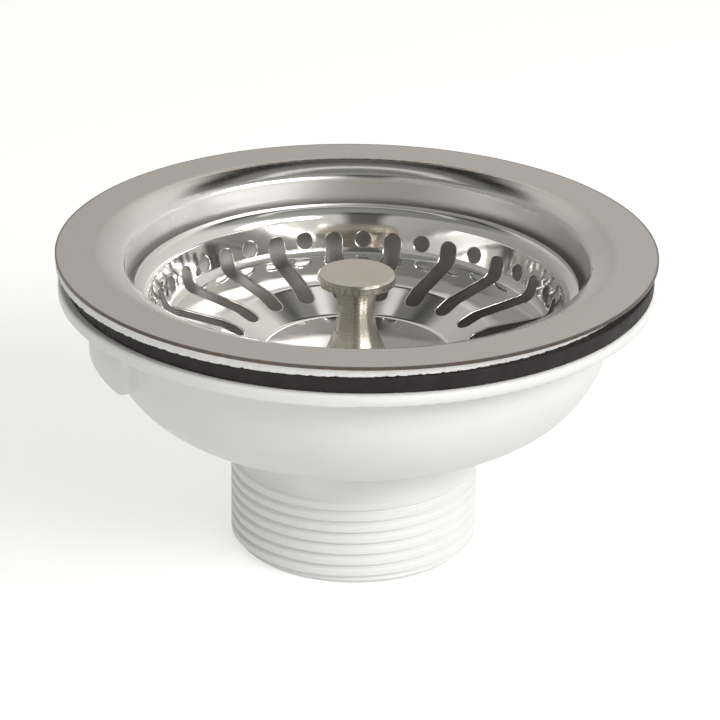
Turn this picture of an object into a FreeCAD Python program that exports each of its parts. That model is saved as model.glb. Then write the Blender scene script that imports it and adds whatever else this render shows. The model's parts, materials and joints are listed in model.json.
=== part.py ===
# Basket strainer waste for a kitchen sink: a pressed steel flange, its seals, a moulded
# body with a threaded outlet, and a strainer basket whose stem pushes into a hollow bolt.
# Millimetres. +Z is up, and the origin is the centre of the outlet's end.
import FreeCAD
import Part
import Sketcher
import os

# Driving sizes. Lengths in millimetres, angles in degrees.
SIZES = {
    # outlet of the moulded body
    "thread_radius": 23.9,
    "thread_length": 17.0,
    "outlet_length": 25.2,
    "outlet_wall": 3.5,
    "outlet_chamfer": 1.4,
    "neck_relief": 0.5,
    # bowl and rim of the moulded body
    "body_wall": 2.4,
    "bowl_rise": 4.8,
    "bowl_corner": 20.0,
    "bowl_clearance": 1.8,
    "rim_thickness": 2.5,
    "rim_inset": 0.4,
    "moulded_edge": 0.6,
    "moulded_inner_corner": 1.2,
    # overflow box on the side of the bowl
    "overflow_span": 70.0,
    "overflow_height": 11.9,
    "overflow_depth": 2.4,
    "overflow_corner": 4.5,
    "overflow_edge": 0.8,
    "chamber_span": 60.0,
    # spider and boss across the outlet
    "arm_count": 3,
    "arm_thickness": 3.2,
    "arm_height": 7.0,
    "boss_height": 11.0,
    "boss_wall": 2.2,
    "clamp_travel": 1.9,
    # insert nut, hollow bolt and its washer
    "nut_flats": 17.0,
    "nut_height": 8.0,
    "bolt_radius": 6.0,
    "bolt_length": 16.4,
    "bolt_head_overhang": 4.0,
    "bolt_head_height": 1.7,
    "bolt_slot_width": 2.2,
    "bolt_slot_depth": 0.8,
    "bolt_washer_overhang": 2.0,
    "bolt_washer_thickness": 0.8,
    # pressed flange with its cup
    "flange_sheet": 0.6,
    "ring_width": 8.2,
    "ring_bend": 3.5,
    "shoulder_width": 5.0,
    "shoulder_fall": 2.1,
    "shoulder_bend": 1.6,
    "cup_radius": 43.8,
    "cup_corner": 16.0,
    "cup_floor_gap": 2.9,
    "drain_hole_count": 8,
    "drain_hole_radius": 3.5,
    "drain_hole_margin": 0.5,
    # foam washer and rubber seal below the flange
    "foam_thickness": 1.9,
    "foam_inset": 1.1,
    "foam_clearance": 0.9,
    "foam_shift": 1.1,
    "seal_thickness": 3.1,
    "seal_inset": 1.1,
    "seal_clearance": 2.1,
    "seal_shift": 0.6,
    "rubber_edge": 0.4,
    # strainer basket
    "basket_sheet": 0.5,
    "basket_gap": 1.6,
    "basket_drop": 7.4,
    "lip_width": 2.5,
    "lip_bend": 3.2,
    "wall_depth": 8.9,
    "wall_inset": 4.9,
    "knuckle_bend": 2.2,
    "floor_fall": 2.0,
    "dish_radius": 18.3,
    "dish_slope_width": 7.7,
    "dish_depth": 3.5,
    "dish_bend": 3.0,
    # perforation of the basket
    "slot_count": 20,
    "slot_phase": 7.15,
    "slot_inner_radius": 22.0,
    "slot_width": 3.3,
    "slot_corner": 1.5,
    "slot_drop": 4.8,
    "slot_foot": 1.0,
    "hole_radius": 1.6,
    "hole_drop": 6.1,
    # turned knob
    "knob_radius": 7.45,
    "knob_height": 16.4,
    "knob_disc": 2.0,
    "knob_chamfer": 0.4,
    "knob_neck_radius": 4.6,
    "knob_foot_radius": 5.75,
    "knob_foot_edge": 0.6,
    "waist_apex_radius": 2.65,
    "waist_apex_height": 8.2,
    "waist_curve": 14.5,
    # stem, its collar and the pieces clamped under the basket
    "stud_radius": 2.0,
    "stud_engagement": 6.0,
    "collar_flats": 10.0,
    "collar_height": 1.3,
    "stem_radius": 3.5,
    "stem_length": 14.5,
    "stem_chamfer": 0.8,
    "ring_section_radius": 0.65,
    "ring_drop": 9.0,
    "seal_web": 1.4,
    "seal_web_radius": 13.0,
    "seal_skirt": 1.6,
    "lip_margin": 4.1,
    "seal_washer_radius": 9.0,
    "seal_washer_thickness": 0.8,
    # room between pieces
    "bolt_head_gap": 1.0,
    "loose_clearance": 0.3,
    "close_clearance": 0.1,
    "ring_clearance": 0.04,
}

# Heights and radii that follow from the driving sizes, as sheet formulas.
LEVELS = {
    # moulded body from the outlet's end up to the bowl's floor
    "outlet_bore": "Size.thread_radius - Size.outlet_wall",
    "neck_radius": "Size.thread_radius - Size.neck_relief",
    "bowl_inner": "Size.cup_radius + Size.flange_sheet + Size.bowl_clearance",
    "bowl_radius": "bowl_inner + Size.body_wall",
    "bowl_base": "Size.outlet_length + Size.bowl_rise",
    "bowl_slope": "Size.bowl_rise / (bowl_radius - neck_radius)",
    "floor_wall": "Size.body_wall * sqrt(1 + bowl_slope ^ 2)",
    "floor_edge": "bowl_base - bowl_slope * Size.body_wall + floor_wall",
    "floor_bore": "Size.outlet_length - bowl_slope * (neck_radius - outlet_bore) + floor_wall",
    # the stack from the bowl's floor up to the flange's top
    "cup_underside": "floor_bore + Size.cup_floor_gap",
    "cup_floor": "cup_underside + Size.flange_sheet",
    "bolt_seat": "cup_floor + Size.bolt_washer_thickness",
    "bolt_top": "bolt_seat + Size.bolt_head_height",
    "collar_bottom": "bolt_top + Size.bolt_head_gap",
    "collar_top": "collar_bottom + Size.collar_height",
    "seal_web_bottom": "collar_top + Size.seal_washer_thickness",
    "seal_web_top": "seal_web_bottom + Size.seal_web",
    "dish_floor": "seal_web_top + Size.basket_sheet",
    "dish_edge": "dish_floor + Size.dish_depth",
    "knuckle_height": "dish_edge + Size.floor_fall",
    "basket_top": "knuckle_height + Size.wall_depth",
    "flange_top": "basket_top + Size.basket_drop",
    # the stack under the flange's ring down to the moulded rim
    "flange_seat": "flange_top - Size.flange_sheet",
    "seal_top": "flange_seat - Size.foam_thickness",
    "rim_top": "seal_top - Size.seal_thickness",
    "rim_bottom": "rim_top - Size.rim_thickness",
    # radii of the flange and of what lies under it
    "shoulder_start": "Size.cup_radius + Size.shoulder_width",
    "flange_radius": "shoulder_start + Size.ring_width",
    "foam_radius": "flange_radius - Size.foam_inset",
    "foam_bore": "shoulder_start + Size.foam_shift + Size.foam_clearance",
    "seal_radius": "flange_radius - Size.seal_inset",
    "seal_bore": "Size.cup_radius + Size.flange_sheet + Size.seal_clearance",
    "rim_radius": "flange_radius - Size.rim_inset",
    # overflow box
    "overflow_radius": "bowl_radius + Size.overflow_depth",
    "overflow_root": "bowl_inner + Size.close_clearance",
    "overflow_bottom": "rim_bottom - Size.overflow_height",
    # boss, nut and bolt
    "boss_top": "cup_underside - Size.clamp_travel",
    "boss_bottom": "boss_top - Size.boss_height",
    "nut_reach": "Size.nut_flats / sqrt(3)",
    "nut_pocket_reach": "nut_reach + Size.close_clearance",
    "boss_radius": "nut_pocket_reach + Size.boss_wall",
    "bolt_bore": "Size.stem_radius + Size.close_clearance",
    "bolt_end": "bolt_seat - Size.bolt_length",
    "bolt_passage": "Size.bolt_radius + Size.loose_clearance",
    "bolt_head_radius": "Size.bolt_radius + Size.bolt_head_overhang",
    "bolt_washer_radius": "bolt_head_radius + Size.bolt_washer_overhang",
    "drain_circle": "bolt_washer_radius + Size.drain_hole_margin + Size.drain_hole_radius",
    # basket
    "basket_radius": "Size.cup_radius - Size.basket_gap",
    "wall_top_radius": "basket_radius - Size.lip_width",
    "knuckle_radius": "basket_radius - Size.wall_inset",
    "dish_slope_radius": "Size.dish_radius + Size.dish_slope_width",
    "slot_reach": "knuckle_radius + Size.basket_sheet / 2",
    "slot_top": "basket_top - Size.slot_drop",
    "slot_bottom": "knuckle_height - Size.slot_foot",
    "stud_passage": "Size.stud_radius + Size.close_clearance",
    # knob and stem
    "knob_top": "dish_floor + Size.knob_height",
    "knob_disc_bottom": "knob_top - Size.knob_disc",
    "stud_top": "dish_floor + Size.stud_engagement",
    "collar_reach": "Size.collar_flats / sqrt(3)",
    "stem_end": "collar_bottom - Size.stem_length",
    "ring_height": "collar_bottom - Size.ring_drop",
    "ring_radius": "bolt_bore - Size.ring_clearance - Size.ring_section_radius",
    "groove_radius": "ring_radius - Size.ring_section_radius - Size.ring_clearance",
    "groove_half": "Size.ring_section_radius + Size.ring_clearance",
    # rubber cup under the basket
    "skirt_lip_bottom": "cup_floor + Size.loose_clearance",
    "skirt_lip_inner": "drain_circle + Size.drain_hole_radius + Size.lip_margin",
    "skirt_lip_outer": "skirt_lip_inner + Size.seal_skirt",
}

# Sketcher's numbers for the origin, the two axes and the points of a line or an arc.
HORIZONTAL_AXIS = -1
VERTICAL_AXIS = -2
START, END, CENTRE = range(1, 4)
FULL_TURN = 360
# lengths closer than this count as equal
SMALL = 0.001

doc = FreeCAD.newDocument("basket_strainer_waste")


def fill_sheet(name, cells):
    """Makes a sheet with one named cell for each size."""
    sheet = doc.addObject("Spreadsheet::Sheet", name)
    for row, (alias, content) in enumerate(cells.items(), start=1):
        sheet.set(f"A{row}", alias)
        sheet.set(f"B{row}", content)
        sheet.setAlias(f"B{row}", alias)
    doc.recompute()
    return sheet


size = fill_sheet("Size", {alias: str(number) for alias, number in SIZES.items()})
level = fill_sheet("Level", {alias: f"={formula}" for alias, formula in LEVELS.items()})


def value(text):
    """The number that an expression on the two sheets gives."""
    return float(level.evalExpression(text))


def new_body(label):
    body = doc.addObject("PartDesign::Body", label)
    body.Label = label
    return body


def new_sketch(body, name, plane="XZ_Plane", offset=None, axis=None, angle=None):
    """A sketch on one of the body's origin planes, moved along its normal and turned by expressions."""
    sketch = body.newObject("Sketcher::SketchObject", name)
    support = next(item for item in body.Origin.OriginFeatures if item.Role == plane)
    sketch.AttachmentSupport = (support, "")
    sketch.MapMode = "FlatFace"
    if angle:
        turn = FreeCAD.Rotation(axis, value(angle))
        sketch.AttachmentOffset = FreeCAD.Placement(FreeCAD.Vector(), turn)
        sketch.setExpression("AttachmentOffset.Rotation.Angle", angle)
    if offset:
        sketch.setExpression("AttachmentOffset.Base.z", offset)
    return sketch


def bind(sketch, kind, where, text):
    """Adds a dimension whose size follows the sheets."""
    index = sketch.addConstraint(Sketcher.Constraint(kind, *where, value(text)))
    sketch.setExpression(f"Constraints[{index}]", text)


def relate(sketch, kind, *where):
    sketch.addConstraint(Sketcher.Constraint(kind, *where))


def place(sketch, geometry, end, across, along):
    """Dimensions a point from the sketch's origin, or puts it on an axis."""
    for kind, axis, text in (("DistanceX", VERTICAL_AXIS, across), ("DistanceY", HORIZONTAL_AXIS, along)):
        if text == "0":
            relate(sketch, "PointOnObject", geometry, end, axis)
        else:
            bind(sketch, kind, (HORIZONTAL_AXIS, START, geometry, end), text)


def left_of(direction):
    return FreeCAD.Vector(-direction.y, direction.x, 0)


def add_arc(sketch, centre, first, last, turns_left):
    """An arc from first to last; drawn backwards where the outline turns right."""
    start, end = (first, last) if turns_left else (last, first)
    circle = Part.Circle(centre, FreeCAD.Vector(0, 0, 1), (first - centre).Length)
    return sketch.addGeometry(Part.ArcOfCircle(circle, circle.parameter(start), circle.parameter(end)))


def join_tangent(sketch, before, arc, after, turns_left):
    """Runs a line into an arc and out into the next line without a kink."""
    first, last = (START, END) if turns_left else (END, START)
    relate(sketch, "Tangent", before, END, arc, first)
    relate(sketch, "Tangent", arc, last, after, START)


class Outline:
    """Straight runs between corners given as (across, along, rounding) expressions."""

    def __init__(self, sketch, corners, closed=True):
        self.sketch = sketch
        self.corners = corners
        points = [FreeCAD.Vector(value(across), value(along), 0) for across, along, _ in corners]
        count = len(points)
        runs = count if closed else count - 1
        self.heading = [(points[(i + 1) % count] - points[i]).normalize() for i in range(runs)]
        inner = range(count) if closed else range(1, count - 1)
        self.turns_left = {}
        self.centre = {}
        setback = [0.0] * count
        for i in inner:
            before, after = self.heading[i - 1], self.heading[i]
            self.turns_left[i] = before.cross(after).z > 0
            if corners[i][2]:
                radius = value(corners[i][2])
                setback[i] = radius * (after - before).Length / (after + before).Length
                side = left_of(before) * (radius if self.turns_left[i] else -radius)
                self.centre[i] = points[i] - before * setback[i] + side
        self.spans = []
        for i in range(runs):
            last = (i + 1) % count
            first_point = points[i] + self.heading[i] * setback[i]
            last_point = points[last] - self.heading[i] * setback[last]
            self.spans.append((first_point, last_point))
        self.lines = [sketch.addGeometry(Part.LineSegment(*span)) for span in self.spans]
        self.arcs = {}
        for i in inner:
            self.shape_corner(i, points[i])
        if not closed:
            place(sketch, self.lines[0], START, *corners[0][:2])
            place(sketch, self.lines[-1], END, *corners[-1][:2])

    def shape_corner(self, i, point):
        """Joins two runs at a sharp corner, or by an arc that is tangent to both."""
        sketch, before, after = self.sketch, self.lines[i - 1], self.lines[i]
        across, along, rounding = self.corners[i]
        if not rounding:
            relate(sketch, "Coincident", before, END, after, START)
            place(sketch, after, START, across, along)
            return
        left = self.turns_left[i]
        arc = add_arc(sketch, self.centre[i], self.spans[i - 1][1], self.spans[i][0], left)
        self.arcs[i] = arc
        join_tangent(sketch, before, arc, after, left)
        bind(sketch, "Radius", (arc,), rounding)
        corner = sketch.addGeometry(Part.Point(point), True)
        place(sketch, corner, START, across, along)
        relate(sketch, "PointOnObject", corner, START, before)
        relate(sketch, "PointOnObject", corner, START, after)

    def thicken(self, sheet):
        """Adds the other face of a sheet on the left of an open outline, and closes both ends."""
        sketch = self.sketch
        moved = []
        for heading, span in zip(self.heading, self.spans):
            shift = left_of(heading) * value(sheet)
            moved.append([point + shift for point in span])
        lines = [sketch.addGeometry(Part.LineSegment(*span)) for span in moved]
        for i, arc in self.arcs.items():
            left = self.turns_left[i]
            other = add_arc(sketch, self.centre[i], moved[i - 1][1], moved[i][0], left)
            relate(sketch, "Coincident", other, CENTRE, arc, CENTRE)
            join_tangent(sketch, lines[i - 1], other, lines[i], left)
            sign = "-" if left else "+"
            bind(sketch, "Radius", (other,), f"{self.corners[i][2]} {sign} {sheet}")
        for run, end, side in ((0, START, 0), (-1, END, 1)):
            cap = sketch.addGeometry(Part.LineSegment(self.spans[run][side], moved[run][side]))
            relate(sketch, "Coincident", cap, START, self.lines[run], end)
            relate(sketch, "Coincident", cap, END, lines[run], end)
            relate(sketch, "Perpendicular", cap, self.lines[run])
            relate(sketch, "Parallel", lines[run], self.lines[run])


def ring_corners(inner, outer, bottom, top, edge=None):
    """The four corners of a washer's section, with its two outer edges rounded on request."""
    return [(inner, bottom, None), (outer, bottom, edge), (outer, top, edge), (inner, top, None)]


def revolve(body, name, sketch, kind="PartDesign::Revolution", angle=None):
    """Turns a section about the upright axis, all round or evenly to both sides by an angle."""
    feature = body.newObject(kind, name)
    feature.Profile = sketch
    feature.ReferenceAxis = (sketch, ["V_Axis"])
    feature.Angle = FULL_TURN
    if angle:
        feature.Midplane = True
        feature.setExpression("Angle", angle)
    doc.recompute()
    return feature


def turned_body(label, corners):
    """A body turned from one closed section."""
    body = new_body(label)
    sketch = new_sketch(body, f"{label}_section")
    Outline(sketch, corners)
    revolve(body, f"{label}_turn", sketch)
    return body


def pressed_body(label, corners, sheet):
    """A body of sheet metal whose upper face follows an open outline."""
    body = new_body(label)
    sketch = new_sketch(body, f"{label}_section")
    Outline(sketch, corners, closed=False).thicken(sheet)
    revolve(body, f"{label}_press", sketch)
    return body


def add_feature(body, kind, name, bottom, **sizes):
    """A cylinder or prism of the body, standing on a height, with its sizes as expressions."""
    feature = body.newObject(kind, name)
    support = next(item for item in body.Origin.OriginFeatures if item.Role == "XY_Plane")
    feature.AttachmentSupport = (support, "")
    feature.MapMode = "FlatFace"
    feature.setExpression("AttachmentOffset.Base.z", bottom)
    for key, text in sizes.items():
        feature.setExpression(key, text)
    doc.recompute()
    return feature


def cut(body, name, sketch, depth, outwards=False):
    """A pocket of a sketch by a depth, against the sketch's normal or along it; it has to remove metal."""
    before = body.Shape.Volume
    pocket = body.newObject("PartDesign::Pocket", name)
    pocket.Profile = sketch
    pocket.Reversed = outwards
    pocket.setExpression("Length", depth)
    doc.recompute()
    if body.Shape.Volume >= before:
        raise RuntimeError(f"{name} cuts nothing")
    return pocket


def repeat(body, name, feature, axis, count):
    """Repeats a feature evenly round an axis."""
    pattern = body.newObject("PartDesign::PolarPattern", name)
    pattern.Originals = [feature]
    pattern.Axis = axis
    pattern.Angle = FULL_TURN
    pattern.setExpression("Occurrences", count)
    body.Tip = pattern
    doc.recompute()
    return pattern


def upright_axis(body):
    return (next(item for item in body.Origin.OriginFeatures if item.Role == "Z_Axis"), [""])


def make_waste_body():
    body = turned_body("waste_body", [
        ("Level.outlet_bore", "0", None),
        ("Size.thread_radius - Size.outlet_chamfer", "0", None),
        ("Size.thread_radius", "Size.outlet_chamfer", None),
        ("Size.thread_radius", "Size.thread_length", None),
        ("Level.neck_radius", "Size.thread_length + Size.neck_relief", None),
        ("Level.neck_radius", "Size.outlet_length", "Size.moulded_inner_corner"),
        ("Level.bowl_radius", "Level.bowl_base", "Size.bowl_corner"),
        ("Level.bowl_radius", "Level.rim_bottom", "Size.moulded_inner_corner"),
        ("Level.rim_radius", "Level.rim_bottom", "Size.moulded_edge"),
        ("Level.rim_radius", "Level.rim_top", "Size.moulded_edge"),
        ("Level.bowl_inner", "Level.rim_top", "Size.moulded_edge"),
        ("Level.bowl_inner", "Level.floor_edge", "Size.bowl_corner - Size.body_wall"),
        ("Level.outlet_bore", "Level.floor_bore", "Size.moulded_inner_corner"),
    ])
    add_overflow_box(body)
    add_spider(body)
    return body


def add_overflow_box(body):
    """The blind overflow box: a shallow chamber on the bowl's -X side, open to the inside."""
    outside = new_sketch(body, "overflow_section", axis=FreeCAD.Vector(0, 1, 0), angle="180")
    Outline(outside, ring_corners("Level.overflow_root", "Level.overflow_radius",
                                  "Level.overflow_bottom", "Level.rim_bottom + Size.moulded_edge"))
    box = revolve(body, "overflow_box", outside, angle="Size.overflow_span")
    round_overflow(body, box)
    inside = new_sketch(body, "overflow_chamber_section", axis=FreeCAD.Vector(0, 1, 0), angle="180")
    Outline(inside, ring_corners("Level.bowl_inner - Size.bowl_clearance", "Level.bowl_radius",
                                 "Level.overflow_bottom + Size.body_wall", "Level.rim_bottom"))
    revolve(body, "overflow_chamber", inside, "PartDesign::Groove", "Size.chamber_span")


def round_overflow(body, box):
    """Rounds the box's two lower corners, and then the edge all round its face."""
    bottom = value("Level.overflow_bottom")
    top = value("Level.rim_bottom")
    face = value("Level.overflow_radius")

    def at_lower_corner(edge):
        on_bottom = all(abs(vertex.Z - bottom) < SMALL for vertex in edge.Vertexes)
        return on_bottom and isinstance(edge.Curve, Part.Line)

    def round_the_face(edge):
        distances = [FreeCAD.Vector(vertex.X, vertex.Y).Length for vertex in edge.Vertexes]
        on_face = all(abs(distance - face) < SMALL for distance in distances)
        return on_face and edge.BoundBox.ZMin < top - SMALL

    corners = fillet(body, "overflow_corners", box, "Size.overflow_corner", at_lower_corner)
    fillet(body, "overflow_edges", corners, "Size.overflow_edge", round_the_face)


def fillet(body, name, base, radius, wanted):
    """Rounds the wanted edges of a feature."""
    numbered = enumerate(base.Shape.Edges, start=1)
    feature = body.newObject("PartDesign::Fillet", name)
    feature.Base = (base, [f"Edge{number}" for number, edge in numbered if wanted(edge)])
    feature.setExpression("Radius", radius)
    doc.recompute()
    return feature


def add_spider(body):
    """Arms across the outlet that carry a boss, with a hexagonal seat for the nut."""
    arm = new_sketch(body, "arm_outline", "XY_Plane", "Level.boss_bottom")
    reach = "Level.outlet_bore + Size.outlet_wall / 2"
    half = "Size.arm_thickness / 2"
    Outline(arm, [("0", f"-{half}", None), (reach, f"-{half}", None), (reach, half, None), ("0", half, None)])
    pad = body.newObject("PartDesign::Pad", "arm")
    pad.Profile = arm
    pad.setExpression("Length", "Size.arm_height")
    doc.recompute()
    repeat(body, "arms", pad, (arm, ["N_Axis"]), "Size.arm_count")
    add_feature(body, "PartDesign::AdditiveCylinder", "boss", "Level.boss_bottom",
                Radius="Level.boss_radius", Height="Size.boss_height")
    add_feature(body, "PartDesign::SubtractivePrism", "nut_seat", "Level.boss_bottom",
                Circumradius="Level.nut_pocket_reach", Height="Size.nut_height")
    add_feature(body, "PartDesign::SubtractiveCylinder", "bolt_passage", "Level.boss_bottom",
                Radius="Level.bolt_passage", Height="Size.boss_height")


def make_insert_nut():
    body = new_body("insert_nut")
    add_feature(body, "PartDesign::AdditivePrism", "nut_hexagon", "Level.boss_bottom",
                Circumradius="Level.nut_reach", Height="Size.nut_height")
    add_feature(body, "PartDesign::SubtractiveCylinder", "nut_bore", "Level.boss_bottom",
                Radius="Size.bolt_radius + Size.ring_clearance", Height="Size.nut_height")
    return body


def make_sink_flange():
    body = pressed_body("sink_flange", [
        ("Level.flange_radius", "Level.flange_top", None),
        ("Level.shoulder_start", "Level.flange_top", "Size.ring_bend"),
        ("Size.cup_radius", "Level.flange_top - Size.shoulder_fall", "Size.shoulder_bend"),
        ("Size.cup_radius", "Level.cup_floor", "Size.cup_corner"),
        ("Level.bolt_passage", "Level.cup_floor", None),
    ], "Size.flange_sheet")
    hole = add_feature(body, "PartDesign::SubtractiveCylinder", "drain_hole",
                       "Level.cup_underside - Size.flange_sheet",
                       Radius="Size.drain_hole_radius", Height="3 * Size.flange_sheet",
                       **{"AttachmentOffset.Base.x": "Level.drain_circle"})
    repeat(body, "drain_holes", hole, upright_axis(body), "Size.drain_hole_count")
    return body


def make_foam_washer():
    """Soft washer under the ring, lying a little to one side as it was fitted."""
    body = turned_body("foam_washer", ring_corners(
        "Level.foam_bore", "Level.foam_radius", "Level.seal_top", "Level.flange_seat"))
    body.setExpression("Placement.Base.x", "-Size.foam_shift")
    return body


def make_rubber_seal():
    """Seal on the moulded rim, lying a little to the other side than the foam."""
    body = turned_body("rubber_seal", ring_corners(
        "Level.seal_bore", "Level.seal_radius", "Level.rim_top", "Level.seal_top", "Size.rubber_edge"))
    body.setExpression("Placement.Base.x", "Size.seal_shift")
    return body


def make_bolt_washer():
    return turned_body("bolt_washer", ring_corners(
        "Level.bolt_passage", "Level.bolt_washer_radius", "Level.cup_floor", "Level.bolt_seat"))


def make_clamp_bolt():
    """Hollow bolt that draws the flange and the body together and receives the basket's stem."""
    body = turned_body("clamp_bolt", [
        ("Level.bolt_bore", "Level.bolt_end", None),
        ("Size.bolt_radius - Size.stem_chamfer", "Level.bolt_end", None),
        ("Size.bolt_radius", "Level.bolt_end + Size.stem_chamfer", None),
        ("Size.bolt_radius", "Level.bolt_seat", None),
        ("Level.bolt_head_radius", "Level.bolt_seat", None),
        ("Level.bolt_head_radius", "Level.bolt_top", "Size.bolt_slot_depth"),
        ("Level.bolt_bore", "Level.bolt_top", None),
    ])
    slot = new_sketch(body, "drive_slot_outline", "XY_Plane", "Level.bolt_top")
    reach = "Level.bolt_head_radius + Size.loose_clearance"
    half = "Size.bolt_slot_width / 2"
    Outline(slot, [(f"-({reach})", f"-{half}", None), (reach, f"-{half}", None),
                   (reach, half, None), (f"-({reach})", half, None)])
    cut(body, "drive_slot", slot, "Size.bolt_slot_depth")
    return body


def make_strainer_basket():
    body = pressed_body("strainer_basket", [
        ("Level.basket_radius", "Level.basket_top", None),
        ("Level.wall_top_radius", "Level.basket_top", "Size.lip_bend"),
        ("Level.knuckle_radius", "Level.knuckle_height", "Size.knuckle_bend"),
        ("Level.dish_slope_radius", "Level.dish_edge", "Size.dish_bend"),
        ("Size.dish_radius", "Level.dish_floor", "Size.dish_bend"),
        ("Level.stud_passage", "Level.dish_floor", None),
    ], "Size.basket_sheet")
    punch_slots(body)
    punch_holes(body)
    return body


def punch_slots(body):
    """Each slot is cut from above through the floor, and from inside through the wall."""
    half = "Size.slot_width / 2"
    in_floor = new_sketch(body, "floor_slot_outline", "XY_Plane", "Level.basket_top",
                          FreeCAD.Vector(0, 0, 1), "Size.slot_phase")
    Outline(in_floor, [
        ("Size.slot_inner_radius", f"-{half}", "Size.slot_corner"),
        ("Level.slot_reach", f"-{half}", None),
        ("Level.slot_reach", half, None),
        ("Size.slot_inner_radius", half, "Size.slot_corner"),
    ])
    depth = "Level.basket_top - Level.dish_floor + Size.basket_sheet"
    floor_slot = cut(body, "floor_slot", in_floor, depth)
    repeat(body, "floor_slots", floor_slot, (in_floor, ["N_Axis"]), "Size.slot_count")
    in_wall = wall_sketch(body, "wall_slot_outline", "Size.slot_phase")
    Outline(in_wall, [
        (f"-{half}", "Level.slot_bottom", None),
        (half, "Level.slot_bottom", None),
        (half, "Level.slot_top", "Size.slot_corner"),
        (f"-{half}", "Level.slot_top", "Size.slot_corner"),
    ])
    wall_slot = cut(body, "wall_slot", in_wall, "Level.basket_radius", outwards=True)
    repeat(body, "wall_slots", wall_slot, upright_axis(body), "Size.slot_count")


def punch_holes(body):
    """A round hole in the wall between each two slots."""
    sketch = wall_sketch(body, "hole_outline", "Size.slot_phase + 180 / Size.slot_count")
    height = "Level.basket_top - Size.hole_drop"
    centre = FreeCAD.Vector(0, value(height), 0)
    circle = sketch.addGeometry(Part.Circle(centre, FreeCAD.Vector(0, 0, 1), value("Size.hole_radius")))
    place(sketch, circle, CENTRE, "0", height)
    bind(sketch, "Radius", (circle,), "Size.hole_radius")
    hole = cut(body, "hole", sketch, "Level.basket_radius", outwards=True)
    repeat(body, "holes", hole, upright_axis(body), "Size.slot_count")


def wall_sketch(body, name, angle):
    """An upright sketch through the axis that faces the wall at an angle."""
    return new_sketch(body, name, "YZ_Plane", None, FreeCAD.Vector(0, 1, 0), angle)


def make_knob():
    return turned_body("knob", [
        ("Level.stud_passage", "Level.dish_floor", None),
        ("Size.knob_foot_radius", "Level.dish_floor", None),
        ("Size.knob_foot_radius", "Level.dish_floor + Size.knob_foot_edge", None),
        ("Size.waist_apex_radius", "Level.dish_floor + Size.waist_apex_height", "Size.waist_curve"),
        ("Size.knob_neck_radius", "Level.knob_disc_bottom", None),
        ("Size.knob_radius", "Level.knob_disc_bottom", "Size.knob_chamfer"),
        ("Size.knob_radius", "Level.knob_top - Size.knob_chamfer", None),
        ("Size.knob_radius - Size.knob_chamfer", "Level.knob_top", None),
        ("0", "Level.knob_top", None),
        ("0", "Level.stud_top + Size.loose_clearance", None),
        ("Level.stud_passage", "Level.stud_top + Size.loose_clearance", None),
    ])


def make_stem():
    """Stem with a stud into the knob, a hexagonal collar and a groove for its ring."""
    body = turned_body("stem", [
        ("0", "Level.stem_end", None),
        ("Size.stem_radius - Size.stem_chamfer", "Level.stem_end", None),
        ("Size.stem_radius", "Level.stem_end + Size.stem_chamfer", None),
        ("Size.stem_radius", "Level.ring_height - Level.groove_half", None),
        ("Level.groove_radius", "Level.ring_height - Level.groove_half", None),
        ("Level.groove_radius", "Level.ring_height + Level.groove_half", None),
        ("Size.stem_radius", "Level.ring_height + Level.groove_half", None),
        ("Size.stem_radius", "Level.collar_top", None),
        ("Size.stud_radius", "Level.collar_top", None),
        ("Size.stud_radius", "Level.stud_top", None),
        ("0", "Level.stud_top", None),
    ])
    add_feature(body, "PartDesign::AdditivePrism", "collar", "Level.collar_bottom",
                Circumradius="Level.collar_reach", Height="Size.collar_height")
    return body


def make_basket_seal():
    """Rubber cup under the basket whose lip closes on the cup's floor round the drain holes."""
    return turned_body("basket_seal", [
        ("Level.stud_passage", "Level.seal_web_bottom", None),
        ("Size.seal_web_radius - Size.seal_skirt", "Level.seal_web_bottom", "Size.rubber_edge"),
        ("Level.skirt_lip_inner", "Level.skirt_lip_bottom", None),
        ("Level.skirt_lip_outer", "Level.skirt_lip_bottom", None),
        ("Level.skirt_lip_outer", "Level.skirt_lip_bottom + Size.seal_skirt / 2", "Size.rubber_edge"),
        ("Size.seal_web_radius", "Level.seal_web_top", "Size.rubber_edge"),
        ("Level.stud_passage", "Level.seal_web_top", None),
    ])


def make_seal_washer():
    return turned_body("seal_washer", ring_corners(
        "Level.stud_passage", "Size.seal_washer_radius", "Level.collar_top", "Level.seal_web_bottom"))


def make_stem_ring():
    ring = doc.addObject("Part::Torus", "stem_ring")
    ring.Label = "stem_ring"
    ring.setExpression("Radius1", "Level.ring_radius")
    ring.setExpression("Radius2", "Size.ring_section_radius")
    ring.setExpression("Placement.Base.z", "Level.ring_height")
    return ring


def check_document():
    """Stops if any object failed or any sketch is not fully dimensioned."""
    for item in doc.Objects:
        if "Invalid" in item.State or "Error" in item.State:
            raise RuntimeError(f"{item.Name} failed: {item.State}")
        if item.TypeId == "Sketcher::SketchObject" and not item.FullyConstrained:
            raise RuntimeError(f"{item.Name} is not fully dimensioned")


def write_pieces(pieces):
    os.makedirs("parts", exist_ok=True)
    for piece in pieces:
        shape = piece.Shape
        if shape.isNull() or not shape.isValid() or len(shape.Solids) != 1:
            raise RuntimeError(f"{piece.Label} is not one sound solid")
    for piece in pieces:
        piece.Shape.exportStep(f"parts/{piece.Label}.step")
        print(f"{piece.Label}: {piece.Shape.Volume:.1f} mm3")


pieces = [make() for make in (
    make_waste_body, make_insert_nut, make_sink_flange, make_foam_washer, make_rubber_seal,
    make_bolt_washer, make_clamp_bolt, make_strainer_basket, make_knob, make_stem,
    make_basket_seal, make_seal_washer, make_stem_ring)]
doc.recompute()
check_document()
write_pieces(pieces)
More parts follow.
